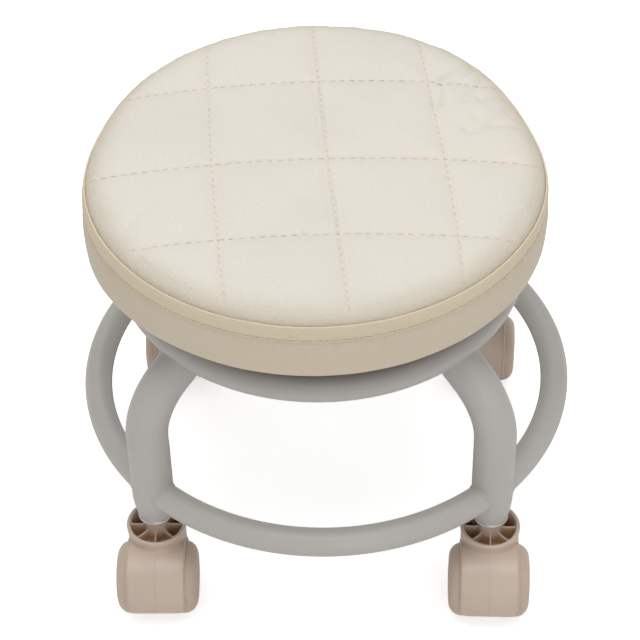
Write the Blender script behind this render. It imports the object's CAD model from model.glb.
from math import atan2, cos, exp, hypot, pi, radians, sin, sqrt
import random
from contextlib import contextmanager
from itertools import groupby

import bpy
import bmesh
import numpy as np
from mathutils import Matrix, Vector, noise
from mathutils.bvhtree import BVHTree


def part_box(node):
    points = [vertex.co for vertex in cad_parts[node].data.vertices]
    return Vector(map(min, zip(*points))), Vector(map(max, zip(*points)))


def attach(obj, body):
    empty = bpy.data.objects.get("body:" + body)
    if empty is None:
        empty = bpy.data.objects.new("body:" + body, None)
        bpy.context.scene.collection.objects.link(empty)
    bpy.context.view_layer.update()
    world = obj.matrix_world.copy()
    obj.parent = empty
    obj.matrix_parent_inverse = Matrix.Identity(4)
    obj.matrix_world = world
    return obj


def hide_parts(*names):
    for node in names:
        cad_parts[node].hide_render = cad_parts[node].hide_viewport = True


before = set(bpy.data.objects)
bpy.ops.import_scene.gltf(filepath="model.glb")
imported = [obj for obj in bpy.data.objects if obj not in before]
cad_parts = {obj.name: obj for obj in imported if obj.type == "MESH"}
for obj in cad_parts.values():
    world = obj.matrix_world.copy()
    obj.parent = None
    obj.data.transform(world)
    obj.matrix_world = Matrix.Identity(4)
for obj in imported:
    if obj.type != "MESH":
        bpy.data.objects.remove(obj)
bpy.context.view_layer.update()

# A low rolling stool. Metres; the origin is on the floor under the frame's centre and the front
# looks towards -Y.

MM = 0.001
CORNERS = ("front_left", "front_right", "rear_right", "rear_left")
SIDES = ("left", "right")
rng = random.Random(7)


# ---- camera, floor and light

def new_object(name, data):
    piece = bpy.data.objects.new(name, data)
    bpy.context.scene.collection.objects.link(piece)
    return piece


def make_camera():
    """Looks down on the stool from the front, a little over forty degrees above the horizon."""
    data = bpy.data.cameras.new("camera")
    data.sensor_width = 36
    data.lens = 117
    data.clip_start = 0.05
    data.clip_end = 30
    cam = new_object("camera", data)
    forward = Vector((-0.03034, 0.72071, -0.69257)).normalized()
    right = Vector((0.99952, 0.02563, -0.01712)).normalized()
    up = right.cross(forward)
    axes = Matrix((right, up, -forward)).transposed()
    cam.matrix_world = Matrix.Translation((0.0403, -1.0405, 1.1436)) @ axes.to_4x4()
    bpy.context.scene.camera = cam


def make_floor():
    size = 6
    corners = [(-size, -size, 0), (size, -size, 0), (size, size, 0), (-size, size, 0)]
    floor = add_object("floor", corners, [(0, 1, 2, 3)], floor_material(), smooth=False)


def floor_material():
    """White paper, a touch brighter than its surroundings, and see-through from below."""
    mat, tree, shader = new_material("floor_white", (0.93, 0.93, 0.93), 0.9, 0.1)
    seen = add_node(tree, "LightPath", {}).outputs["Is Camera Ray"]
    lift = add_node(tree, "Math", {0: seen, 1: 0.6}, operation="MULTIPLY")
    shader.inputs["Emission Color"].default_value = (1, 1, 1, 1)
    tree.links.new(lift.outputs[0], shader.inputs["Emission Strength"])
    below = add_node(tree, "NewGeometry", {}).outputs["Backfacing"]
    clear = add_node(tree, "BsdfTransparent", {})
    mix = add_node(tree, "MixShader", {0: below, 1: shader.outputs[0], 2: clear.outputs[0]})
    tree.links.new(mix.outputs[0], tree.nodes["Material Output"].inputs["Surface"])
    return mat


def make_light():
    """A white room and three large soft lamps, shown with a plain transform so white stays white."""
    bpy.context.scene.view_settings.view_transform = "Standard"
    world = bpy.data.worlds.new("studio")
    bpy.context.scene.world = world
    world.use_nodes = True
    tree = world.node_tree
    room = tree.nodes["Background"]
    room.inputs["Color"].default_value = (1, 1, 1, 1)
    room.inputs["Strength"].default_value = 0.45
    seen = add_node(tree, "Background", {"Color": (1, 1, 1, 1)})
    camera_ray = add_node(tree, "LightPath", {}).outputs["Is Camera Ray"]
    mix = add_node(tree, "MixShader", {0: camera_ray, 1: room.outputs[0], 2: seen.outputs[0]})
    tree.links.new(mix.outputs[0], tree.nodes["World Output"].inputs["Surface"])
    lamps = (("key", (0.05, -0.2, 2.4), 1.8, 25.5), ("fill", (0.5, -1.9, 1.0), 1.2, 4.5),
             ("back", (-0.7, 1.6, 1.7), 1.4, 7))
    for name, place, size, power in lamps:
        data = bpy.data.lights.new(name, "AREA")
        data.shape = "SQUARE"
        data.size = size
        data.energy = power
        lamp = new_object(name, data)
        lamp.location = place
        aim = Vector((0, 0, 0.15)) - Vector(place)
        lamp.rotation_euler = aim.to_track_quat("-Z", "Y").to_euler()


# ---- materials

def new_material(name, colour, roughness, specular=0.5, metallic=0.0):
    mat = bpy.data.materials.new(name)
    mat.use_nodes = True
    shader = mat.node_tree.nodes["Principled BSDF"]
    shader.inputs["Base Color"].default_value = (*colour, 1)
    shader.inputs["Roughness"].default_value = roughness
    shader.inputs["Specular IOR Level"].default_value = specular
    shader.inputs["Metallic"].default_value = metallic
    return mat, mat.node_tree, shader


def add_node(tree, kind, inputs, **settings):
    """Adds a shader node: its settings, and its inputs as numbers or as outputs to link."""
    node = tree.nodes.new("ShaderNode" + kind)
    for name, value in settings.items():
        setattr(node, name, value)
    for name, value in inputs.items():
        if isinstance(value, bpy.types.NodeSocket):
            tree.links.new(value, node.inputs[name])
        else:
            node.inputs[name].default_value = value
    return node


def noise_node(tree, scale, detail=4.0, rough=0.55, stretch=(1, 1, 1)):
    coords = add_node(tree, "TexCoord", {}).outputs["Object"]
    mapping = add_node(tree, "Mapping", {"Vector": coords, "Scale": stretch})
    noisy = add_node(tree, "TexNoise", {"Vector": mapping.outputs["Vector"], "Scale": scale,
                                        "Detail": detail, "Roughness": rough})
    return noisy.outputs["Fac"]


def cells_node(tree, scale):
    coords = add_node(tree, "TexCoord", {}).outputs["Object"]
    cells = add_node(tree, "TexVoronoi", {"Vector": coords, "Scale": scale}, feature="F1")
    return cells.outputs["Distance"]


def ramp(tree, source, stops):
    node = add_node(tree, "ValToRGB", {"Fac": source})
    elements = node.color_ramp.elements
    for i, (at, colour) in enumerate(stops):
        element = elements[i] if i < 2 else elements.new(at)
        element.position = at
        element.color = (*colour, 1)
    return node.outputs["Color"]


def colour_by(tree, shader, source, low, high, end=0.7):
    """Colours the shader by a texture's value."""
    colour = ramp(tree, source, [(0.3, low), (end, high)])
    tree.links.new(colour, shader.inputs["Base Color"])


def roughness_by(tree, shader, source, low, high):
    tree.links.new(spread(tree, source, low, high), shader.inputs["Roughness"])


def spread(tree, source, low, high):
    """Maps a 0 to 1 value to a range."""
    return add_node(tree, "MapRange", {"Value": source, "To Min": low, "To Max": high}).outputs["Result"]


def bump(tree, shader, layers):
    """Stacks (height output, strength, distance) bumps on the shader's normal."""
    previous = None
    for height, strength, distance in layers:
        node = add_node(tree, "Bump", {"Strength": strength, "Distance": distance, "Height": height})
        if previous:
            tree.links.new(previous, node.inputs["Normal"])
        previous = node.outputs["Normal"]
    tree.links.new(previous, shader.inputs["Normal"])


def shade(colour, factor):
    return tuple(min(1.0, c * factor) for c in colour)


SEAM_TINT = (0.80, 0.70, 0.62)      # the cover beside a line of stitches
RIM_TINT = (0.64, 0.56, 0.44)       # the cover where it rolls down to the binding


def tinted(tree, colour, attribute, share, tint):
    """Mixes a tint into a colour by a stored attribute; a mesh without it keeps its colour."""
    stored = add_node(tree, "Attribute", {}, attribute_name=attribute)
    mix = add_node(tree, "Mix", {}, data_type="RGBA")
    tree.links.new(spread(tree, stored.outputs["Fac"], 0, share), mix.inputs["Factor"])
    tree.links.new(colour, mix.inputs["A"])
    mix.inputs["B"].default_value = (*tint, 1)
    return mix.outputs["Result"]


def leather(name, colour, warm):
    """Artificial leather: pebbled grain, faint creases and slow changes of tone."""
    mat, tree, shader = new_material(name, colour, 0.5, 0.35)
    tone = noise_node(tree, 9, 3)
    base = ramp(tree, tone, [(0.3, shade(colour, 0.965)), (0.5, colour), (0.72, warm)])
    for attribute, share, tint in (("seam_tone", 0.32, SEAM_TINT), ("rim_tone", 0.75, RIM_TINT)):
        base = tinted(tree, base, attribute, share, tint)
    tree.links.new(base, shader.inputs["Base Color"])
    pebbles = cells_node(tree, 760)
    creases = noise_node(tree, 340, 5, 0.6)
    pores = noise_node(tree, 1900, 2)
    roughness_by(tree, shader, creases, 0.42, 0.6)
    bump(tree, shader, [(pebbles, 0.45, 0.0005),
                        (creases, 0.55, 0.0007), (pores, 0.12, 0.0001)])
    return mat


def powder_coat(name, colour):
    """Satin powder coat with a fine orange peel."""
    mat, tree, shader = new_material(name, colour, 0.4, 0.45)
    tone = noise_node(tree, 14, 3)
    colour_by(tree, shader, tone, shade(colour, 0.97), shade(colour, 1.03))
    peel = noise_node(tree, 620, 2)
    dust = noise_node(tree, 60, 4)
    roughness_by(tree, shader, dust, 0.34, 0.46)
    bump(tree, shader, [(peel, 0.12, 0.0003)])
    return mat


CELL_TINT = (0.52, 0.29, 0.14)      # deep inside the cup's cells, where light goes round in the nylon


def moulded(name, colour):
    """Satin moulded nylon: faint flow marks and a fine spark-eroded texture."""
    mat, tree, shader = new_material(name, colour, 0.42, 0.45)
    shader.inputs["Subsurface Weight"].default_value = 0.08
    shader.inputs["Subsurface Radius"].default_value = (0.004, 0.0025, 0.0015)
    tone = noise_node(tree, 45, 3, 0.5, (1, 1, 0.35))
    base = ramp(tree, tone, [(0.3, shade(colour, 0.96)), (0.7, shade(colour, 1.04))])
    tree.links.new(tinted(tree, base, "cell_depth", 0.8, CELL_TINT), shader.inputs["Base Color"])
    grain = noise_node(tree, 2600, 2)
    marks = noise_node(tree, 160, 3)
    roughness_by(tree, shader, marks, 0.29, 0.42)
    bump(tree, shader, [(grain, 0.1, 0.0001), (marks, 0.08, 0.0003)])
    return mat


def zinc(name, metallic):
    """Bright zinc plate, with a faint spangle."""
    mat, tree, shader = new_material(name, (0.6, 0.59, 0.575), 0.28, 0.5, metallic)
    spangle = noise_node(tree, 190, 3)
    roughness_by(tree, shader, spangle, 0.26, 0.38)
    colour_by(tree, shader, spangle, (0.54, 0.53, 0.515), (0.64, 0.63, 0.615), 0.75)
    bump(tree, shader, [(spangle, 0.06, 0.0001)])
    return mat


def thread(name, colour):
    mat, tree, shader = new_material(name, colour, 0.7, 0.2)
    twist = noise_node(tree, 3200, 2)
    colour_by(tree, shader, twist, shade(colour, 0.85), shade(colour, 1.1))
    bump(tree, shader, [(twist, 0.5, 0.0001)])
    return mat


def fleece(name, colour):
    """Spun-bonded cloth: a dotted pattern of pressed points over loose fibres."""
    mat, tree, shader = new_material(name, colour, 0.9, 0.15)
    points = cells_node(tree, 700)
    fibres = noise_node(tree, 1500, 4, 0.7)
    colour_by(tree, shader, fibres, shade(colour, 0.6), shade(colour, 1.6))
    bump(tree, shader, [(points, 0.5, 0.0004), (fibres, 0.3, 0.0002)])
    return mat


def plywood(name):
    mat, tree, shader = new_material(name, (0.6, 0.43, 0.25), 0.65, 0.3)
    grain = noise_node(tree, 60, 6, 0.6, (1, 12, 1))
    colour_by(tree, shader, grain, (0.5, 0.34, 0.18), (0.68, 0.5, 0.31))
    bump(tree, shader, [(grain, 0.3, 0.0002)])
    return mat


# ---- mesh helpers

def add_object(name, verts, faces, material, smooth=True):
    mesh = bpy.data.meshes.new(name)
    mesh.from_pydata([tuple(v) for v in verts], [], faces)
    mesh.validate()
    mesh.materials.append(material)
    if smooth:
        mesh.polygons.foreach_set("use_smooth", [True] * len(mesh.polygons))
    return new_object(name, mesh)


def ring_faces(rows, columns, close_rows=False, first=0):
    """Quads of a grid of rows by columns whose columns join up; rows join up too if asked."""
    faces = []
    for i in range(rows if close_rows else rows - 1):
        a, b = first + i * columns, first + ((i + 1) % rows) * columns
        for j in range(columns):
            k = (j + 1) % columns
            faces.append((a + j, a + k, b + k, b + j))
    return faces


def polar(radius, angle, height):
    return Vector((radius * cos(angle), radius * sin(angle), height))


def arc(centre, radius, start, end, steps):
    """Points of an arc in the (across, up) plane, from one angle in degrees to another."""
    angles = [radians(start + (end - start) * i / steps) for i in range(steps + 1)]
    return [(centre[0] + radius * cos(a), centre[1] + radius * sin(a)) for a in angles]


def offsets(across, up, *steps):
    """Points of a profile at steps in millimetres from a base point."""
    return [(across + a * MM, up + b * MM) for a, b in steps]


def cap_ends(faces, count, sides):
    """Closes the first and the last ring of a shell of so many vertices."""
    faces.append(tuple(reversed(range(sides))))
    faces.append(tuple(range(count - sides, count)))


def points_of(mesh):
    """The mesh's points as an array of rows."""
    flat = np.zeros(len(mesh.vertices) * 3)
    mesh.vertices.foreach_get("co", flat)
    return flat.reshape(-1, 3)


def store(mesh, name, values):
    """Keeps one number per point on the mesh, for its material."""
    layer = mesh.attributes.new(name, "FLOAT", "POINT")
    layer.data.foreach_set("value", values.astype(np.float32))


def slab_faces(rows, columns):
    """Faces between two grids of points, one after the other, whose edges are joined."""
    width = columns + 1
    base = (rows + 1) * width
    faces = []
    for i in range(rows):
        for j in range(columns):
            a = i * width + j
            faces.append((a, a + 1, a + width + 1, a + width))
            faces.append((base + a, base + a + width, base + a + width + 1, base + a + 1))
        for j in (0, columns):
            a, b = i * width + j, (i + 1) * width + j
            faces.append((a, b, base + b, base + a))
    for i in (0, rows):
        for a in range(i * width, i * width + columns):
            faces.append((a, a + 1, base + a + 1, base + a))
    return faces


def join_shells(shells):
    """Puts several (vertices, faces) shells in one list of each."""
    verts, faces = [], []
    for shell_verts, shell_faces in shells:
        base = len(verts)
        verts += [Vector(v) for v in shell_verts]
        faces += [tuple(base + i for i in face) for face in shell_faces]
    return verts, faces


def lathe(profile, steps=96, closed=True):
    """Turns (radius, height) points about Z. A closed profile makes a ring, an open one is capped."""
    verts = []
    for radius, height in profile:
        verts += [polar(radius, 2 * pi * j / steps, height) for j in range(steps)]
    faces = ring_faces(len(profile), steps, closed)
    if not closed:
        cap_ends(faces, len(verts), steps)
    return verts, faces


def moved(shell, matrix):
    return [matrix @ Vector(v) for v in shell[0]], shell[1]


@contextmanager
def edited(piece):
    """The piece's mesh as a BMesh, which is written back at the end."""
    bm = bmesh.new()
    bm.from_mesh(piece.data)
    yield bm
    bm.to_mesh(piece.data)
    bm.free()


def fix_normals(piece):
    with edited(piece) as bm:
        bmesh.ops.recalc_face_normals(bm, faces=bm.faces)


def add_solid(name, shells, material):
    """Puts closed shells in one object, with their faces outwards."""
    piece = add_object(name, *join_shells(shells), material)
    fix_normals(piece)
    return piece


def sharpen(piece, angle):
    """Shades edges steeper than the angle as sharp."""
    with edited(piece) as bm:
        for edge in bm.edges:
            if len(edge.link_faces) == 2 and edge.calc_face_angle(0) > radians(angle):
                edge.smooth = False


def capsule(start, end, normal, width, height, sides=6):
    """A short stitch of thread: a flattened rounded rod between two points."""
    start, end, normal = Vector(start), Vector(end), Vector(normal).normalized()
    along = (end - start).normalized()
    across = normal.cross(along).normalized()
    length = (end - start).length
    stations = ((0.0, 0.35, -0.6), (0.12, 0.8, 0.0), (0.35, 1.0, 0.35), (0.65, 1.0, 0.35),
                (0.88, 0.8, 0.0), (1.0, 0.35, -0.6))
    verts = []
    for t, grow, rise in stations:
        centre = start + along * (length * t) + normal * (height * rise * 0.5)
        for j in range(sides):
            a = 2 * pi * j / sides
            verts.append(centre + across * (cos(a) * width / 2 * grow)
                         + normal * (sin(a) * height / 2 * grow))
    faces = ring_faces(len(stations), sides)
    cap_ends(faces, len(verts), sides)
    return verts, faces


# ---- seat

def middle(node):
    low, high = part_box(node)
    return (low + high) / 2


band_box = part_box("side_band")
SEAT = Vector((middle("side_band").x, middle("side_band").y, 0))
SEAT_R = (band_box[1].x - band_box[0].x) / 2
SEAT_LOW = band_box[0].z
PIPE_Z = middle("seat_piping").z
CROWN_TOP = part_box("top_panel")[1].z
BOARD_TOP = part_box("seat_board")[1].z
LIP_R = SEAT_R - 26 * MM

QUILT_REACH = 150 * MM
QUILT_LEAN = -0.104           # the lines that run away from the front drift to the left
QUILT_SLOPE = 0.05            # the lines that cross the seat rise to the right
QUILT_SAG = 14 * MM           # and drop towards their ends
AWAY_LINES = ((-71.5 * MM, 3 * MM), (4 * MM, 1.5 * MM), (79.5 * MM, -4 * MM))
CROSS_LINES = (80 * MM, -2 * MM, -75.5 * MM)


def away_x(line, y):
    start, bow = line
    return start + QUILT_LEAN * y + bow * (y / QUILT_REACH) ** 2


def cross_y(start, x):
    return start + QUILT_SLOPE * x - QUILT_SAG * (x / QUILT_REACH) ** 2


def line_gap(x, y):
    """Distance from the nearest quilting line, for arrays of points."""
    gaps = [abs(x - away_x(line, y)) for line in AWAY_LINES]
    slope = QUILT_SLOPE - 2 * QUILT_SAG * x / QUILT_REACH ** 2
    gaps += [abs(y - cross_y(start, x)) / np.sqrt(1 + slope ** 2) for start in CROSS_LINES]
    return np.min(gaps, axis=0)


BINDING_FOLD = 0.75 * MM      # half the thickness of the binding's folded edge
BINDING_OUT = SEAT_R + 0.7 * MM
CUSHION_R = BINDING_OUT - 2 * BINDING_FOLD - 0.1 * MM
SHOULDER = 17 * MM            # how far in from the rim the top rolls over
SHOULDER_RISE = 8.2 * MM
CROWN = CROWN_TOP - 0.4 * MM - PIPE_Z - SHOULDER_RISE


def crown_height(r):
    """Height of the plain top at a radius: a full rounded shoulder and a slow crown."""
    rolled = np.clip((r - CUSHION_R + SHOULDER) / SHOULDER, 0, 1)
    shoulder = SHOULDER_RISE * (1 - rolled ** 2.2) ** 0.48
    return PIPE_Z + shoulder + CROWN * (1 - np.clip(r / CUSHION_R, 0, 1) ** 2)


def pad_blank():
    """The foam and cover as one plain closed shell, a starting shape for the simulation."""
    inner = CUSHION_R - 1.5 * MM
    profile = [(inner * i / 24, float(crown_height(inner * i / 24))) for i in range(1, 25)]
    profile += [(inner, BOARD_TOP + (PIPE_Z - BOARD_TOP) * t) for t in (0.6, 0.3, 0.0)]
    verts, faces = lathe(profile, 96, closed=False)
    return [SEAT + Vector(v) for v in verts], faces


SWELL_CAP = 4 * MM            # the furthest the simulation may move a point
HELD_GAP = 3.5 * MM           # half the width that a line of stitches holds down


def simulated_pad(blank):
    """Remeshes the blank, blows it up as cloth with the quilting held, and gives both shapes."""
    piece = add_object("pad_simulation", *blank, new_material("pad_plain", (1, 1, 1), 1)[0])
    fix_normals(piece)
    bpy.context.view_layer.objects.active = piece
    remesh = piece.modifiers.new("remesh", "REMESH")
    remesh.mode = "VOXEL"
    remesh.voxel_size = 4.5 * MM
    bpy.ops.object.modifier_apply(modifier="remesh")
    rest = points_of(piece.data)
    away = np.hypot(rest[:, 0] - SEAT.x, rest[:, 1] - SEAT.y)
    held = (line_gap(rest[:, 0], rest[:, 1]) < HELD_GAP) | (away > CUSHION_R - 6 * MM)
    held |= rest[:, 2] < PIPE_Z - 2 * MM
    group = piece.vertex_groups.new(name="held")
    group.add([int(i) for i in np.flatnonzero(held)], 1.0, "REPLACE")
    cloth = piece.modifiers.new("cloth", "CLOTH")
    settings = {"quality": 6, "mass": 0.3, "tension_stiffness": 12, "compression_stiffness": 12,
                "shear_stiffness": 4, "bending_stiffness": 0.4, "vertex_group_mass": "held",
                "use_pressure": True, "uniform_pressure_force": 4}
    for name, value in settings.items():
        setattr(cloth.settings, name, value)
    cloth.settings.effector_weights.gravity = 0
    cloth.point_cache.frame_start, cloth.point_cache.frame_end = 1, 20
    for frame_number in range(1, 21):
        bpy.context.scene.frame_set(frame_number)
    bpy.ops.object.modifier_apply(modifier="cloth")
    travel = points_of(piece.data) - rest
    length = np.linalg.norm(travel, axis=1, keepdims=True)
    travel *= np.minimum(1, SWELL_CAP / np.maximum(length, 1e-9))
    swollen = rest + travel
    faces = [tuple(p.vertices) for p in piece.data.polygons]
    bpy.data.objects.remove(piece)
    bpy.context.scene.frame_set(1)
    return rest, swollen, faces


def simulated_swell(x, y):
    """How far the simulated cover rises above its blank at each point."""
    rest, swollen, faces = simulated_pad(pad_blank())
    trees = [BVHTree.FromPolygons([Vector(p) for p in points], faces) for points in (rest, swollen)]
    out = np.zeros(len(x))
    for i in range(len(x)):
        spot = Vector((x[i], y[i], CROWN_TOP + 0.05))
        hits = [tree.ray_cast(spot, Vector((0, 0, -1)))[0] for tree in trees]
        if hits[0] is not None and hits[1] is not None:
            out[i] = hits[1].z - hits[0].z
    return out


FOAM_SHARE = 0.75              # how much of each pillow is the foam's own cut shape


def plain_swell(x, y):
    """The pillows that the foam makes between the lines of stitches."""
    gap = np.clip((line_gap(x, y) - HELD_GAP) / (30 * MM), 0, 1)
    edge = np.clip((CUSHION_R - 6 * MM - np.hypot(x - SEAT.x, y - SEAT.y)) / (25 * MM), 0, 1)
    return 2.7 * MM * gap ** 0.7 * np.sqrt(edge)


def dent(x, y, start, end, width, depth, bow=0.0):
    """A crease along a slightly bowed run: its depth at each point, fading to its ends."""
    start, end = np.array(start), np.array(end)
    along = end - start
    length = np.linalg.norm(along)
    unit = along / length
    dx, dy = x - start[0], y - start[1]
    t = (dx * unit[0] + dy * unit[1]) / length
    off = -dx * unit[1] + dy * unit[0] - bow * 4 * t * (1 - t)
    fade = np.clip(np.minimum(t, 1 - t) * 5 + 0.5, 0, 1)
    return -depth * fade ** 2 * np.exp(-(off / width) ** 2)


WRINKLES = (   # start, end, half width, depth and bow, all in millimetres
    ((104, 102), (82, 84), 4.2, 2.6, 2.0), ((84, 88), (77, 52), 4.0, 2.2, -3.0),
    ((110, 88), (94, 56), 4.5, 1.6, 2.0), ((132, 52), (92, 26), 6.5, 2.6, 5.0),
    ((138, 34), (100, 42), 5.0, 1.6, 2.0), ((126, 70), (104, 62), 5.0, 1.5, 1.0),
    ((-123, -77), (-103, -46), 3.6, 0.9, 1.0), ((-98, -75), (-114, -103), 4.2, 0.9, -1.0),
    ((-30, -128), (-12, -139), 3.4, 0.5, 1.0), ((52, -118), (74, -110), 3.8, 0.5, 1.0),
    ((-60, 128), (-40, 118), 3.4, 0.6, 1.0), ((128, -52), (116, -78), 4.5, 0.9, 1.5))

GROOVE = 1.05 * MM             # how deep the stitches pull the cover in
GROOVE_WIDTH = 1.3 * MM
SAG = 0.35 * MM                # the wider dip on each side of a line of stitches
SAG_WIDTH = 6 * MM


def seat_surface(x, y):
    """Height of the finished cushion without the pillows, for arrays of points."""
    r = np.hypot(x - SEAT.x, y - SEAT.y)
    gap = line_gap(x, y)
    inward = np.clip((CUSHION_R - 3 * MM - r) / (8 * MM), 0, 1)
    z = crown_height(r)
    z = z - (GROOVE * np.exp(-(gap / GROOVE_WIDTH) ** 2) + SAG * np.exp(-(gap / SAG_WIDTH) ** 2)) * inward
    for start, end, width, depth, bow in WRINKLES:
        a, b = [tuple(c * MM for c in p) for p in (start, end)]
        z = z + dent(x, y, a, b, width * MM, depth * MM, bow * MM)
    return z


def edge_pull(angle, r):
    """Small uneven puckers where the cover is sewn to the piping."""
    wave = np.array([noise.noise(Vector((cos(a) * 9, sin(a) * 9, 3.1))) for a in angle])
    fine = np.array([noise.noise(Vector((cos(a) * 34, sin(a) * 34, 8.7))) for a in angle])
    near = np.exp(-((CUSHION_R - r) / (7 * MM)) ** 2)
    return (wave * 0.9 * MM + fine * 0.5 * MM) * near


RIM_PULLS = ((20, 22, 6.2), (165, 20, 4.0))   # where, how far round (degrees) and how far in (mm)
BAND_BULGES = ((206, 26, 3.2), (335, 28, 0.8))


def around(angles, spots):
    """Adds up soft humps round the seat: each has a place, a reach and a height."""
    total = 0
    for place, reach, height in spots:
        total = total + height * MM * np.exp(-(((angles - place + 180) % 360 - 180) / reach) ** 2)
    return total


def settle(piece):
    """Moves the sewn rim in where the cover is tight, and lets the band's foot stand out."""
    mesh = piece.data
    spots = points_of(mesh)
    x, y = spots[:, 0] - SEAT.x, spots[:, 1] - SEAT.y
    r, angles = np.maximum(np.hypot(x, y), 1e-9), np.degrees(np.arctan2(y, x))
    rise = np.clip((spots[:, 2] - BOARD_TOP) / (PIPE_Z - BOARD_TOP), 0, 1)
    lean = around(angles, BAND_BULGES) * (1 - rise ** 2) - around(angles, RIM_PULLS) * rise
    near = np.clip((r / SEAT_R - 0.45) / 0.55, 0, 1)
    grow = 1 + lean * near ** 2 * (3 - 2 * near) / r
    spots[:, 0], spots[:, 1] = SEAT.x + x * grow, SEAT.y + y * grow
    mesh.vertices.foreach_set("co", spots.ravel())
    mesh.update()


def seat_cushion(materials):
    """The quilted top: one closed shell down to the board, hollowed by its stitches."""
    columns = 800
    rings = 100
    radii = [CUSHION_R * (1 - (1 - i / rings) ** 1.25) for i in range(1, rings + 1)]
    angles = np.arange(columns) * 2 * pi / columns
    x = np.concatenate([SEAT.x + r * np.cos(angles) for r in radii])
    y = np.concatenate([SEAT.y + r * np.sin(angles) for r in radii])
    r = np.repeat(radii, columns)
    swell = plain_swell(x, y)
    swell = FOAM_SHARE * swell + simulated_swell(x, y)
    swell = swell * np.clip((line_gap(x, y) - 1 * MM) / (4 * MM), 0, 1)
    z = seat_surface(x, y) + swell + edge_pull(np.tile(angles, rings), r)
    verts = [Vector((SEAT.x, SEAT.y, float(z[:columns].mean())))]
    verts += [Vector(p) for p in zip(x.tolist(), y.tolist(), z.tolist())]
    faces = [(0, 1 + j, 1 + (j + 1) % columns) for j in range(columns)]
    faces += ring_faces(rings, columns, first=1)
    skirt = offsets(CUSHION_R, PIPE_Z, (0.2, -2.5), (-1, -9)) + offsets(CUSHION_R, BOARD_TOP, (-1, 0.3))
    for radius, height in skirt:
        verts += [SEAT + polar(radius, a, height) for a in angles]
    faces += ring_faces(len(skirt) + 1, columns, first=1 + (rings - 1) * columns)
    last = len(verts) - columns
    faces.append(tuple(range(last, last + columns)))
    piece = add_object("seat_cushion", verts, faces, materials["top"])
    fix_normals(piece)
    seam_tone = np.exp(-(line_gap(x, y) / (5.5 * MM)) ** 2)
    rim_tone = np.exp(-((CUSHION_R - r) / (11 * MM)) ** 2)
    for name, values in (("seam_tone", seam_tone), ("rim_tone", rim_tone)):
        store(piece.data, name, np.concatenate([[0], values, np.zeros(len(verts) - 1 - len(values))]))
    quilt_stitches(materials["thread"], piece)
    settle(piece)
    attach(piece, "root")
    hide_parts("top_panel", "foam_pad")


def quilt_stitches(material, cushion):
    """Short flat stitches lying in the grooves; a gap and a slight slant between each."""
    tree = BVHTree.FromObject(cushion, bpy.context.evaluated_depsgraph_get())
    pitch, length = 6.6 * MM, 4.3 * MM
    shells = []
    runs = [(lambda t, line=line: (away_x(line, t), t)) for line in AWAY_LINES]
    runs += [(lambda t, start=start: (t, cross_y(start, t))) for start in CROSS_LINES]
    for k, run in enumerate(runs):
        t = -0.155
        slant = 0.45 * MM if k < len(AWAY_LINES) else 0.12 * MM
        while t < 0.155:
            spots = []
            for s in (t, t + length / 2, t + length):
                px, py = run(s)
                hit, normal, _, _ = tree.ray_cast(Vector((px, py, CROWN_TOP + 0.05)), Vector((0, 0, -1)))
                inside = hypot(px - SEAT.x, py - SEAT.y) < CUSHION_R - 1.5 * MM
                spots.append((hit, normal) if hit and inside else None)
            t += pitch * (1 + rng.uniform(-0.06, 0.06))
            if None in spots:
                continue
            start, centre, end = (spot for spot, _ in spots)
            normal = spots[1][1]
            side = normal.cross((end - start).normalized()) * slant
            bow = max(0, (centre - (start + end) / 2).dot(normal))
            lift = normal * (0.1 * MM + 0.8 * bow)
            shells.append(capsule(start - side + lift, end + side + lift, normal, 0.68 * MM, 0.5 * MM))
    piece = add_object("quilt_stitches", *join_shells(shells), material)
    settle(piece)
    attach(piece, "root")


BINDING_LOW = PIPE_Z - 12.2 * MM
STITCH_Z = PIPE_Z - 10.6 * MM
BAND_STITCHES = 136


def wavy(angle, speed, seed):
    """A smooth random value from -1 to 1 that runs round the seat and joins up."""
    return noise.noise(Vector((cos(angle) * speed, sin(angle) * speed, seed)))


def swept_ring(name, section, columns, material):
    """A closed ring whose (radius, height) section may change with the angle."""
    rows = None
    verts = []
    for j in range(columns):
        angle = 2 * pi * j / columns
        points = section(angle)
        rows = len(points)
        verts += [SEAT + polar(r, angle, z) for r, z in points]
    faces = []
    for j in range(columns):
        a, b = j * rows, ((j + 1) % columns) * rows
        for i in range(rows):
            k = (i + 1) % rows
            faces.append((a + i, b + i, b + k, a + k))
    piece = add_solid(name, [(verts, faces)], material)
    settle(piece)
    return piece


def binding_section(angle):
    """The folded binding: a thin standing edge over the cord, then a strip lying on the band."""
    top = PIPE_Z + 0.7 * MM + 0.3 * MM * wavy(angle, 11, 2.0) + 0.12 * MM * wavy(angle, 40, 5.0)
    out = 0.12 * MM * wavy(angle, 7, 9.0) + 0.1 * MM * wavy(angle, 30, 4.0)
    outer = BINDING_OUT + out
    fold = BINDING_FOLD
    inner = outer - 2 * fold
    pull = 0.42 * MM + 0.14 * MM * cos(angle * BAND_STITCHES)
    low = BINDING_LOW + 0.2 * MM * wavy(angle, 25, 6.0)
    points = offsets(inner, PIPE_Z, (0, -7), (-0.1, -2.5))
    points += list(reversed(arc((outer - fold, top - fold), fold, 0, 180, 8)))
    points += offsets(outer, PIPE_Z, (0.25, -2), (0.35, -4.5), (0.15, -7.5))
    points += [(outer, STITCH_Z + 1.5 * MM), (outer - pull * 0.6, STITCH_Z + 0.7 * MM),
               (outer - pull, STITCH_Z), (outer - pull * 0.5, STITCH_Z - 0.6 * MM)]
    points += offsets(outer, low, (-0.1, 0.45), (-0.28, 0.1))
    return points + offsets(SEAT_R, low, (-0.2, 0), (-0.4, 1.5))


def edge_binding(material):
    piece = swept_ring("edge_binding", binding_section, 904, material)
    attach(piece, "root")
    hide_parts("seat_piping")


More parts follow.
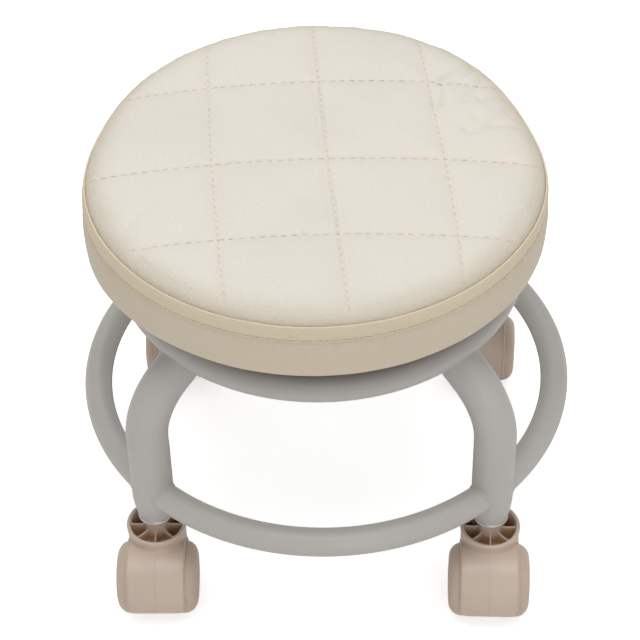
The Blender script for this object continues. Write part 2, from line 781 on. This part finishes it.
def band_section(angle):
    """The side band: nearly upright, softly bulged, rolled under the board and stapled flat."""
    pucker = 0.22 * MM * wavy(angle, 46, 1.0) + 0.1 * MM * cos(angle * BAND_STITCHES)
    slow = 0.35 * MM * wavy(angle, 6, 7.0)
    roll = 3.8 * MM
    face = SEAT_R - 0.1 * MM
    top = BINDING_LOW + 3.5 * MM
    points = [(face - 0.5 * MM, top)]
    count = 12
    low = SEAT_LOW + roll
    for i in range(count + 1):
        t = i / count
        z = BINDING_LOW + 0.6 * MM + (low - BINDING_LOW - 0.6 * MM) * t
        near_seam = exp(-t * count / 3.2)
        bulge = 0.75 * MM * sin(pi * min(1, t * 1.05)) ** 0.8
        points.append((face + bulge * 0.8 + slow * t + pucker * near_seam * 2 - 0.2 * MM * near_seam, z))
    bottom = points[-1][0]
    points += arc((bottom - roll, low), roll, 0, -90, 7)[1:]
    gathers = wavy(angle, 30, 12.0)
    for i in range(1, 9):
        t = i / 8
        r = bottom - roll + (LIP_R - bottom + roll) * t
        pleat = 0.55 * MM * gathers + 0.25 * MM * wavy(angle, 75, 2.5)
        pleat *= sin(pi * min(1, t * 1.2)) * t
        points.append((r, SEAT_LOW + 0.15 * MM + max(-0.1 * MM, pleat)))
    points += [(LIP_R, SEAT_LOW + 1.1 * MM), (face - 3 * MM, SEAT_LOW + 1.1 * MM),
               (face - 1.1 * MM, SEAT_LOW + 3.5 * MM), (face - 1.1 * MM, top)]
    return points


def band_cover(material):
    piece = swept_ring("band_cover", band_section, 904, material)
    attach(piece, "root")
    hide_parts("side_band")


def band_stitches(material, hole_material):
    """The row of stitches that holds the binding's lower edge to the band, and their needle holes."""
    shells, holes = [], []
    step = 2 * pi / BAND_STITCHES
    for i in range(BAND_STITCHES):
        middle_angle = step * i
        half = step * 0.36
        drift = 0.2 * MM * wavy(middle_angle, 25, 6.0)
        ends = []
        for angle, drop in ((middle_angle - half, 0.12 * MM), (middle_angle + half, -0.12 * MM)):
            radius = SEAT_R + 0.42 * MM + 0.12 * MM * wavy(angle, 7, 9.0)
            ends.append(SEAT + polar(radius, angle, STITCH_Z + drift + drop))
        outward = polar(1, middle_angle, 0)
        shells.append(capsule(ends[0], ends[1], outward, 0.9 * MM, 0.6 * MM))
        along = (ends[1] - ends[0]).normalized()
        for spot, way in ((ends[0], -1), (ends[1], 1)):
            mouth = spot + along * (way * 0.45 * MM) - outward * 0.05 * MM
            reach = along * 0.4 * MM
            holes.append(capsule(mouth - reach, mouth + reach, outward, 0.8 * MM, 0.3 * MM))
    rows = (("band_stitches", shells, material), ("needle_holes", holes, hole_material))
    for name, pieces, finish in rows:
        piece = add_object(name, *join_shells(pieces), finish)
        settle(piece)
        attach(piece, "root")


def underside_cloth(material):
    """The dust cover: thin cloth, slack between the plate and the staples, with a raw wavy edge."""
    low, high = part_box("dust_cover")
    outer = (high.x - low.x) / 2
    plate_r = (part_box("seat_plate")[1].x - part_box("seat_plate")[0].x) / 2
    columns, rings = 288, 46
    thick = 0.35 * MM
    flat = high.z - 0.55 * MM
    tops, bottoms = [], []
    for i in range(rings + 1):
        share = i / rings
        for j in range(columns):
            angle = 2 * pi * j / columns
            r = share * (outer + 1.2 * MM * wavy(angle, 20, 3.0))
            between = max(0, min(1, (r - plate_r) / (LIP_R - plate_r)))
            slack = sin(pi * between)
            fold = wavy(angle, 14, 5.0) * 0.7 * MM + wavy(angle, 40, 8.0 + r * 20) * 0.35 * MM
            step = max(0, min(1, (r - LIP_R + 4 * MM) / (4 * MM)))
            z = flat - slack * (0.75 * MM + abs(fold)) - step * 1.25 * MM
            near_edge = max(0, (share - 0.93) / 0.07)
            z += near_edge * 0.25 * MM * wavy(angle, 50, 11.0)
            spot = SEAT + polar(r, angle, z)
            tops.append(spot + Vector((0, 0, thick)))
            bottoms.append(spot)
    faces = ring_faces(rings + 1, columns)
    base = len(tops)
    faces += [tuple(base + i for i in reversed(f)) for f in ring_faces(rings + 1, columns)]
    rim = rings * columns
    for j in range(columns):
        k = (j + 1) % columns
        faces.append((rim + j, rim + k, base + rim + k, base + rim + j))
    piece = add_object("underside_cloth", tops + bottoms, faces, material)
    with edited(piece) as bm:
        bmesh.ops.remove_doubles(bm, verts=bm.verts, dist=0.01 * MM)
    fix_normals(piece)
    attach(piece, "root")
    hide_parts("dust_cover")


# ---- casters

STEM = {corner: middle("stem_" + corner) for corner in CORNERS}
AXLE = {corner: middle("axle_" + corner) for corner in CORNERS}
AXLE_Z = AXLE["front_left"].z
TRAIL = hypot(AXLE["front_left"].x - STEM["front_left"].x, AXLE["front_left"].y - STEM["front_left"].y)
WHEEL_R = AXLE_Z
WHEEL_IN, WHEEL_OUT = 11.3 * MM, 27.8 * MM
ROOM = WHEEL_R + 0.8 * MM
SHIELD = 2 * MM
SHIELD_HALF = 20 * MM
CUP_R, CUP_WALL = 20 * MM, 2.5 * MM
BOSS_R, BORE_R = 8 * MM, 5.56 * MM
AXLE_CENTRE = Matrix.Translation((0, -TRAIL, AXLE_Z))
ALONG_AXLE = AXLE_CENTRE @ Matrix.Rotation(radians(90), 4, "Y")
BODY_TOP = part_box("caster_body_front_left")[1].z
BOSS_TOP = BODY_TOP - 0.1 * MM
BOSS_LOW = AXLE_Z + 3 * MM
CUP_TOP, CUP_LOW = BODY_TOP - 7.5 * MM, AXLE_Z + 11 * MM


def caster_place(corner):
    """The caster's own frame: the stem on Z, the wheels' axle behind it along X."""
    back = AXLE[corner] - STEM[corner]
    turn = atan2(back.x, -back.y)
    spot = Vector((STEM[corner].x, STEM[corner].y, 0))
    return Matrix.Translation(spot) @ Matrix.Rotation(turn, 4, "Z")


def round_axle(radius, angle):
    """A (y, z) point at a radius and an angle from the axle; 0 is ahead (-Y), 90 is up."""
    a = radians(angle)
    return (-TRAIL - radius * cos(a), AXLE_Z + radius * sin(a))


def shield_shell():
    """The curved hood over both wheels, with rounded lower corners and rounded long edges."""
    first, last = -15.5, 195
    steps, across = 84, 28
    corner_r = 5.5 * MM
    outer, inner = [], []
    for i in range(steps + 1):
        angle = first + (last - first) * i / steps
        run = min(angle - first, last - angle) * pi / 180 * (ROOM + SHIELD)
        cut = 0
        if run < corner_r:
            cut = corner_r - sqrt(max(0, corner_r ** 2 - (corner_r - run) ** 2))
        half = SHIELD_HALF - cut
        for j in range(across + 1):
            s = sin(pi / 2 * (2 * j / across - 1))
            x = half * s
            edge = max(0, abs(s) - 0.93) / 0.07
            for radius, points in ((ROOM + SHIELD - 0.5 * MM * edge ** 2, outer), (ROOM, inner)):
                points.append((x, *round_axle(radius, angle)))
    return outer + inner, slab_faces(steps, across)


def keep_clear_of_wheels(verts):
    """Pushes points that lie in a wheel's room out onto the hood."""
    out = []
    for v in verts:
        v = Vector(v)
        dy, dz = v.y + TRAIL, v.z - AXLE_Z
        away = hypot(dy, dz)
        if abs(v.x) > WHEEL_IN - 0.9 * MM and away < ROOM + 0.5 * MM and away > 1e-6:
            grow = (ROOM + 0.5 * MM) / away
            v.y, v.z = -TRAIL + dy * grow, AXLE_Z + dz * grow
        out.append(v)
    return out


def cup_shells():
    """The round cup under the leg, its eight ribs and the boss that the stem turns in."""
    rim = 0.9 * MM
    mid = CUP_R - CUP_WALL / 2
    profile = [(CUP_R - 2.2 * MM, CUP_LOW)]
    profile += [(CUP_R - 2.2 * MM + 2.0 * MM * min(1, i / 5), CUP_LOW + (CUP_TOP - CUP_LOW) * i / 14)
                for i in range(1, 13)]
    profile += [(CUP_R + 0.35 * MM, CUP_TOP - 3 * MM), (CUP_R + 0.45 * MM, CUP_TOP - 1.2 * MM)]
    profile += arc((mid + 0.3 * MM, CUP_TOP - rim), rim + 0.5 * MM, 20, 160, 6)
    profile += [(CUP_R - CUP_WALL, CUP_TOP - 2 * MM - (CUP_TOP - CUP_LOW - 4 * MM) * i / 12)
                for i in range(13)]
    profile += [(BORE_R, CUP_LOW + 2 * MM), (BORE_R, CUP_LOW)]
    cup = lathe(profile, 120)
    boss = lathe([(BOSS_R, BOSS_LOW), (BOSS_R + 0.3 * MM, CUP_LOW + 4 * MM), (BOSS_R, CUP_TOP - 6 * MM),
                  (BOSS_R - 0.3 * MM, BOSS_TOP - 0.8 * MM), (BOSS_R - 1.0 * MM, BOSS_TOP),
                  (BORE_R, BOSS_TOP), (BORE_R, BOSS_LOW)], 72)
    shells = [cup, boss]
    top, low = CUP_TOP - 0.9 * MM, CUP_LOW + 1 * MM
    rows, columns = 12, 10
    for k in range(8):
        turn = Matrix.Rotation(radians(45 * k), 3, "Z")
        verts = []
        inner, outer = BOSS_R - 1.2 * MM, CUP_R - CUP_WALL * 0.6
        for side in (-1, 1):
            for i in range(rows + 1):
                z = low + (top - low) * i / rows
                half = 0.62 * MM + 0.28 * MM * (1 - i / rows)
                for j in range(columns + 1):
                    r = inner + (outer - inner) * j / columns
                    dip = 0.9 * MM * sin(pi * j / columns) * (i / rows) ** 4
                    verts.append(turn @ Vector((r, side * half, z - dip)))
        shells.append((verts, slab_faces(rows, columns)))
    return [(keep_clear_of_wheels(verts), faces) for verts, faces in shells]


def web_shells():
    """The plate between the wheels with its rim, and the hub that holds the axle."""
    half, plate, rim_r = 10.5 * MM, 1.5 * MM, WHEEL_R - 1 * MM
    section = offsets(0, -WHEEL_IN, (3.05, 0.4), (6.6, 0.4), (7, 1))
    section += [(7 * MM, -plate), (rim_r - 2.5 * MM, -plate)]
    section += offsets(rim_r, -half, (-2.5, 0.4), (-2.1, 0), (-0.5, 0), (0, 0.5))
    mirrored = [(r, -h) for r, h in reversed(section)]
    return [moved(lathe(section + mirrored, 96), ALONG_AXLE)]


def ridge(points, normals, width, height):
    """A fine raised line of moulding flash along a run of points."""
    verts = []
    for i, (point, normal) in enumerate(zip(points, normals)):
        ahead = points[min(i + 1, len(points) - 1)] - points[max(i - 1, 0)]
        side = normal.cross(ahead.normalized()).normalized()
        for across, up in ((-0.5, -0.6), (-0.28, 0.75), (0.0, 1.0), (0.28, 0.75), (0.5, -0.6)):
            verts.append(point + side * (across * width) + normal * (up * height))
    faces = ring_faces(len(points), 5)
    cap_ends(faces, len(verts), 5)
    return verts, faces


def moulding_lines():
    """The parting line down the hood's middle and the raised lines along its edges."""
    shells = []
    for x, first, last, width, height in ((0, -14, 96, 0.5 * MM, 0.3 * MM),
                                          (SHIELD_HALF - 0.9 * MM, -8, 150, 1.0 * MM, 0.5 * MM),
                                          (0.9 * MM - SHIELD_HALF, -8, 150, 1.0 * MM, 0.5 * MM)):
        points, normals = [], []
        for i in range(65):
            angle = first + (last - first) * i / 64
            y, z = round_axle(ROOM + SHIELD - 0.05 * MM, angle)
            points.append(Vector((x, y, z)))
            normals.append(Vector((0, y + TRAIL, z - AXLE_Z)).normalized())
        shells.append(ridge(points, normals, width, height))
    return shells


def caster_mesh(material):
    """One moulding: the shells are fused and their inner corners filleted by a fine remesh."""
    piece = add_solid("caster_moulding", [shield_shell()] + cup_shells() + web_shells(), material)
    bpy.context.view_layer.objects.active = piece
    remesh = piece.modifiers.new("remesh", "REMESH")
    remesh.mode = "VOXEL"
    remesh.voxel_size = 0.5 * MM
    smooth = piece.modifiers.new("smooth", "SMOOTH")
    smooth.factor, smooth.iterations = 0.5, 6
    thin = piece.modifiers.new("thin", "DECIMATE")
    thin.ratio = 0.35
    for name in ("remesh", "smooth", "thin"):
        bpy.ops.object.modifier_apply(modifier=name)
    lines = join_shells(moulding_lines())
    with edited(piece) as bm:
        added = [bm.verts.new(v) for v in lines[0]]
        for face in lines[1]:
            bm.faces.new([added[i] for i in face])
    fix_normals(piece)
    piece.data.polygons.foreach_set("use_smooth", [True] * len(piece.data.polygons))
    mesh = piece.data
    store_cell_depth(mesh)
    bpy.data.objects.remove(piece)
    return mesh


def store_cell_depth(mesh):
    """Marks how deep each point is in the cup's cells, for the colour of the moulding."""
    x, y, z = points_of(mesh).T
    away = np.hypot(x, y)
    depth = np.clip((CUP_TOP - 1.5 * MM - z) / (7 * MM), 0, 1)
    depth *= (away < CUP_R - CUP_WALL + 0.8 * MM) & (z > CUP_LOW + 1 * MM)
    store(mesh, "cell_depth", depth)


def casters(material):
    mesh = caster_mesh(material)
    for corner in CORNERS:
        piece = new_object("caster_moulding_" + corner, mesh)
        piece.matrix_world = caster_place(corner)
        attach(piece, "caster_" + corner)
        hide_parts("caster_body_" + corner)


def wheel_mesh(material):
    """A hollow moulded wheel: flat tread, full round shoulder, slightly domed face with a step."""
    edge = 9 * MM
    profile = offsets(0, WHEEL_IN, (3.1, 0), (6.1, 0), (6.5, 0.4))
    profile += offsets(0, WHEEL_OUT, (6.5, -3.2), (14, -3.2), (19.5, -6.2), (21.8, -11))
    profile += offsets(0, WHEEL_IN, (22, 0.4), (22.4, 0))
    profile += offsets(WHEEL_R, WHEEL_IN, (-0.7, 0), (-0.15, 0.35), (0, 0.9))
    profile += offsets(WHEEL_R, WHEEL_OUT - edge, (0, -0.35), (-0.22, -0.1), (-0.22, 0.15))
    profile += arc((WHEEL_R - 0.1 * MM - edge, WHEEL_OUT - 0.5 * MM - edge), edge, 3, 84, 16)
    profile += offsets(0, WHEEL_OUT, (13.5, -0.32), (10, -0.12), (8.2, -0.06), (7.8, -0.4),
                       (7.4, -0.45), (7.0, -0.1), (4, -0.02), (0.05, 0))
    profile += offsets(0, 0, (0.05, 22.1), (3.1, 22.1))
    shells = [moved(lathe(profile, 128), ALONG_AXLE)]
    for k in range(6):
        place = AXLE_CENTRE @ Matrix.Rotation(radians(60 * k), 4, "X")
        corners = [place @ Vector((x, s * 0.8 * MM, r)) for x in (WHEEL_IN + 1.2 * MM, WHEEL_OUT - 3 * MM)
                   for s in (-1, 1) for r in (6.2 * MM, 21.9 * MM if x < 20 * MM else 15 * MM)]
        shells.append((corners, [(0, 1, 3, 2), (4, 6, 7, 5), (0, 4, 5, 1), (2, 3, 7, 6), (0, 2, 6, 4),
                                 (1, 5, 7, 3)]))
    piece = add_solid("wheel_moulding", shells, material)
    sharpen(piece, 50)
    mesh = piece.data
    bpy.data.objects.remove(piece)
    return mesh


def wheels(material):
    mesh = wheel_mesh(material)
    about_axle = (Matrix.Translation((0, -TRAIL, 0)) @ Matrix.Rotation(pi, 4, "Z")
                  @ Matrix.Translation((0, TRAIL, 0)))
    for corner in CORNERS:
        for side in SIDES:
            piece = new_object(f"wheel_moulding_{side}_{corner}", mesh)
            flip = about_axle if side == "left" else Matrix.Identity(4)
            piece.matrix_world = caster_place(corner) @ flip
            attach(piece, f"wheel_{side}_{corner}")
            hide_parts(f"wheel_{side}_{corner}")


FLANGE_R, FLANGE_THICK = 11.7 * MM, 3.4 * MM
THREAD_LENGTH = 24 * MM


def stems(material):
    """The bright stems: threaded end, a flange with rolled edges under the leg, and the pin."""
    for corner in CORNERS:
        low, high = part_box("stem_" + corner)
        seat = high.z - THREAD_LENGTH
        roll = FLANGE_THICK / 2
        profile = offsets(0, low.z, (4.9, 0), (5.5, 0.6), (5.5, 4), (4.6, 4), (4.6, 5.4), (5.5, 5.4))
        profile += [(5.5 * MM, seat - FLANGE_THICK), (FLANGE_R - roll, seat - FLANGE_THICK)]
        profile += arc((FLANGE_R - roll, seat - roll), roll, -70, 70, 8)
        profile += [(FLANGE_R - roll, seat - 0.05 * MM), (5 * MM, seat - 0.05 * MM)]
        profile += offsets(0, high.z, (5, -0.8), (4.3, 0))
        spot = Matrix.Translation((STEM[corner].x, STEM[corner].y, 0))
        shell = moved(lathe(profile, 64, closed=False), spot)
        piece = add_solid("stem_steel_" + corner, [shell], material)
        sharpen(piece, 40)
        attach(piece, "root")
        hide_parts("stem_" + corner)


# ---- frame welds

RING = middle("upper_ring")
RING_TUBE = (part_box("upper_ring")[1].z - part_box("upper_ring")[0].z) / 2
RING_R = (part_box("upper_ring")[1].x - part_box("upper_ring")[0].x) / 2 - RING_TUBE
FOOT_Z = middle("foot_ring_front").z
LEG_R = hypot(STEM["front_left"].x, STEM["front_left"].y)
LEG_TUBE = 14 * MM
NECK_TOP, NECK_REACH = FOOT_Z - 1 * MM, 37 * MM
BEND_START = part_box("seat_plate")[0].z - 89.6 * MM
BEND_R, BEND_TURN = 47 * MM, radians(60)


def leg_distance(point, corner):
    """How far a point is outside the leg's surface, ignoring the crush in the bend."""
    out = Vector((STEM[corner].x, STEM[corner].y, 0)).normalized()
    across = Vector((-out.y, out.x, 0))
    r, s, z = point.dot(out), point.dot(across), point.z
    bend_axis = LEG_R - BEND_R
    if z < BEND_START:
        tube = LEG_TUBE
        if z < NECK_TOP:
            tube *= sqrt(max(0, 1 - ((NECK_TOP - z) / NECK_REACH) ** 2))
        return hypot(r - LEG_R, s) - tube
    angle = atan2(z - BEND_START, r - bend_axis)
    if angle < BEND_TURN:
        return hypot(hypot(r - bend_axis, z - BEND_START) - BEND_R, s) - LEG_TUBE
    end_r = bend_axis + BEND_R * cos(BEND_TURN)
    end_z = BEND_START + BEND_R * sin(BEND_TURN)
    off = (r - end_r) * cos(BEND_TURN) + (z - end_z) * sin(BEND_TURN)
    return hypot(off, s) - LEG_TUBE


def joint_line(centre, major, minor, corner, side, steps=72):
    """Where a ring's surface meets a leg on one side of it, as a run of (point, ring normal)."""
    def on_ring(turn, section):
        return centre + polar(major + minor * cos(section), turn, minor * sin(section))

    at = atan2(STEM[corner].y - centre.y, STEM[corner].x - centre.x)
    line = []
    for i in range(steps):
        section = 2 * pi * i / steps
        inner, outer = 0.0, radians(14)
        if leg_distance(on_ring(at, section), corner) > 0:
            line.append(None)
            continue
        for _ in range(26):
            half = (inner + outer) / 2
            spot = on_ring(at + side * half, section)
            if leg_distance(spot, corner) > 0:
                outer = half
            else:
                inner = half
        spot = on_ring(at + side * outer, section)
        core = centre + polar(major, at + side * outer, 0)
        line.append((spot, (spot - core).normalized()))
    return line


def bead(line, radius, ripple):
    """A weld bead along a closed or broken line, rippled as the pool froze."""
    shells = []
    closed = None not in line
    runs = [line]
    if not closed:
        start = line.index(None)
        pieces = groupby(line[start:] + line[:start], key=lambda spot: spot is None)
        runs = [run for run in (list(group) for empty, group in pieces if not empty) if len(run) > 3]
    for run in runs:
        verts = []
        count = len(run)
        sides = 8
        for i, (spot, normal) in enumerate(run):
            before = run[i - 1][0] if closed or i else spot
            after = run[(i + 1) % count][0] if closed or i < count - 1 else spot
            along = (after - before).normalized()
            side = along.cross(normal).normalized()
            grow = 1 + ripple * sin(i * 2.4) + 0.5 * ripple * rng.uniform(-1, 1)
            if not closed:
                grow *= min(1, 0.35 + 0.3 * min(i, count - 1 - i))
            for j in range(sides):
                a = 2 * pi * j / sides
                verts.append(spot + (side * cos(a) * 1.25 + normal * sin(a) * 0.8) * radius * grow)
        faces = ring_faces(count, sides, closed)
        if not closed:
            cap_ends(faces, count * sides, sides)
        shells.append((verts, faces))
    return shells


def weld_beads(material):
    foot = Vector((0, 0, FOOT_Z))
    shells = []
    for corner in CORNERS:
        for side in (-1, 1):
            shells += bead(joint_line(foot, LEG_R, RING_TUBE, corner, side), 1.1 * MM, 0.1)
            shells += bead(joint_line(RING, RING_R, RING_TUBE, corner, side), 1.2 * MM, 0.1)
    piece = add_solid("weld_beads", shells, material)
    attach(piece, "root")


# ---- finishes on the CAD nodes

def dress(nodes, material):
    for node in nodes:
        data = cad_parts[node].data
        data.materials.clear()
        data.materials.append(material)


def main():
    make_camera()
    make_floor()
    make_light()
    top = leather("leather_top", (0.76, 0.73, 0.65), (0.775, 0.73, 0.64))
    band = leather("leather_band", (0.705, 0.605, 0.47), (0.715, 0.605, 0.46))
    paint = powder_coat("frame_paint", (0.52, 0.495, 0.465))
    nylon = moulded("caster_nylon", (0.63, 0.512, 0.42))
    tread = moulded("wheel_nylon", (0.585, 0.46, 0.365))
    steel, stem_steel = zinc("zinc_steel", 1.0), zinc("stem_steel", 0.8)
    seat_cushion({"top": top, "thread": thread("quilt_thread", (0.74, 0.65, 0.565))})
    edge_binding(leather("leather_binding", (0.76, 0.66, 0.48), (0.77, 0.66, 0.47)))
    band_cover(band)
    band_stitches(thread("band_thread", (0.72, 0.61, 0.46)), thread("needle_hole", (0.3, 0.23, 0.15)))
    underside_cloth(fleece("dust_cloth", (0.02, 0.02, 0.022)))
    casters(nylon)
    wheels(tread)
    weld_beads(paint)
    rings = ["upper_ring"] + ["foot_ring_" + side for side in ("front", "right", "rear", "left")]
    dress(rings + ["leg_" + corner for corner in CORNERS], paint)
    dress(["leg_plug_" + corner for corner in CORNERS], nylon)
    stems(stem_steel)
    dress([f"{part}_{corner}" for part in ("grip_ring", "axle") for corner in CORNERS], steel)
    dress(["seat_plate", "seat_screws", "screw_washers", "tee_nuts", "cover_staples"], steel)
    dress(["seat_board"], plywood("plywood"))


main()
